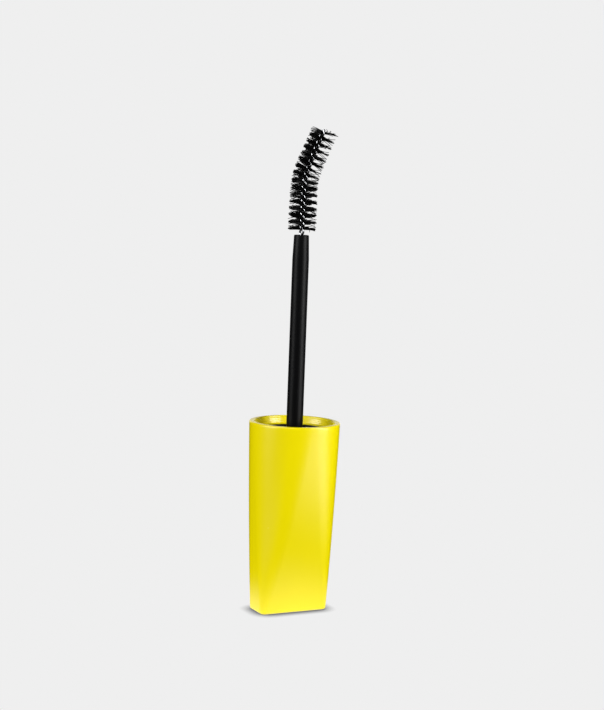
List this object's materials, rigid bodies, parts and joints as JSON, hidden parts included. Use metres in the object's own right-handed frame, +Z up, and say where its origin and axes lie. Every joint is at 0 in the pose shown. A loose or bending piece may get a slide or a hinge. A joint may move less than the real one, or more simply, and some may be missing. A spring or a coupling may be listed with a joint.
{
  "type": "mascara wand with cap",
  "caption": "Mascara applicator: flat-ended cap that rounds out to its open mouth, threaded insert inside, straight stem and curved twisted-wire bristle brush.",
  "frame": {"origin": "centre of the cap's flat closed end, which the applicator stands on", "axes": "+Z up the stem to the brush, +X along the long side of the closed end and the way the brush bends, -Y the front"},
  "size_m": [0.0226, 0.0226, 0.1203],
  "materials": {
    "yellow_lacquer": "satin-gloss lacquered ABS moulding, lemon yellow",
    "black_insert": "moulded black polypropylene",
    "washer_foam": "punched closed-cell polyethylene foam",
    "black_stem": "satin moulded black acetal",
    "steel_wire": "drawn stainless wire",
    "black_filament": "trimmed black nylon filament"
  },
  "bodies": {
    "root": {"outer_cap": "yellow_lacquer", "screw_insert": "black_insert", "sealing_washer": "washer_foam", "stem": "black_stem", "core_wire": "steel_wire", "bristle_row_01": "black_filament", "bristle_row_02": "black_filament", "bristle_row_03": "black_filament", "bristle_row_04": "black_filament", "bristle_row_05": "black_filament", "bristle_row_06": "black_filament", "bristle_row_07": "black_filament", "bristle_row_08": "black_filament", "bristle_row_09": "black_filament", "bristle_row_10": "black_filament", "bristle_row_11": "black_filament", "bristle_row_12": "black_filament", "bristle_row_13": "black_filament", "bristle_row_14": "black_filament", "bristle_row_15": "black_filament", "bristle_row_16": "black_filament"}
  },
  "joints": []
}
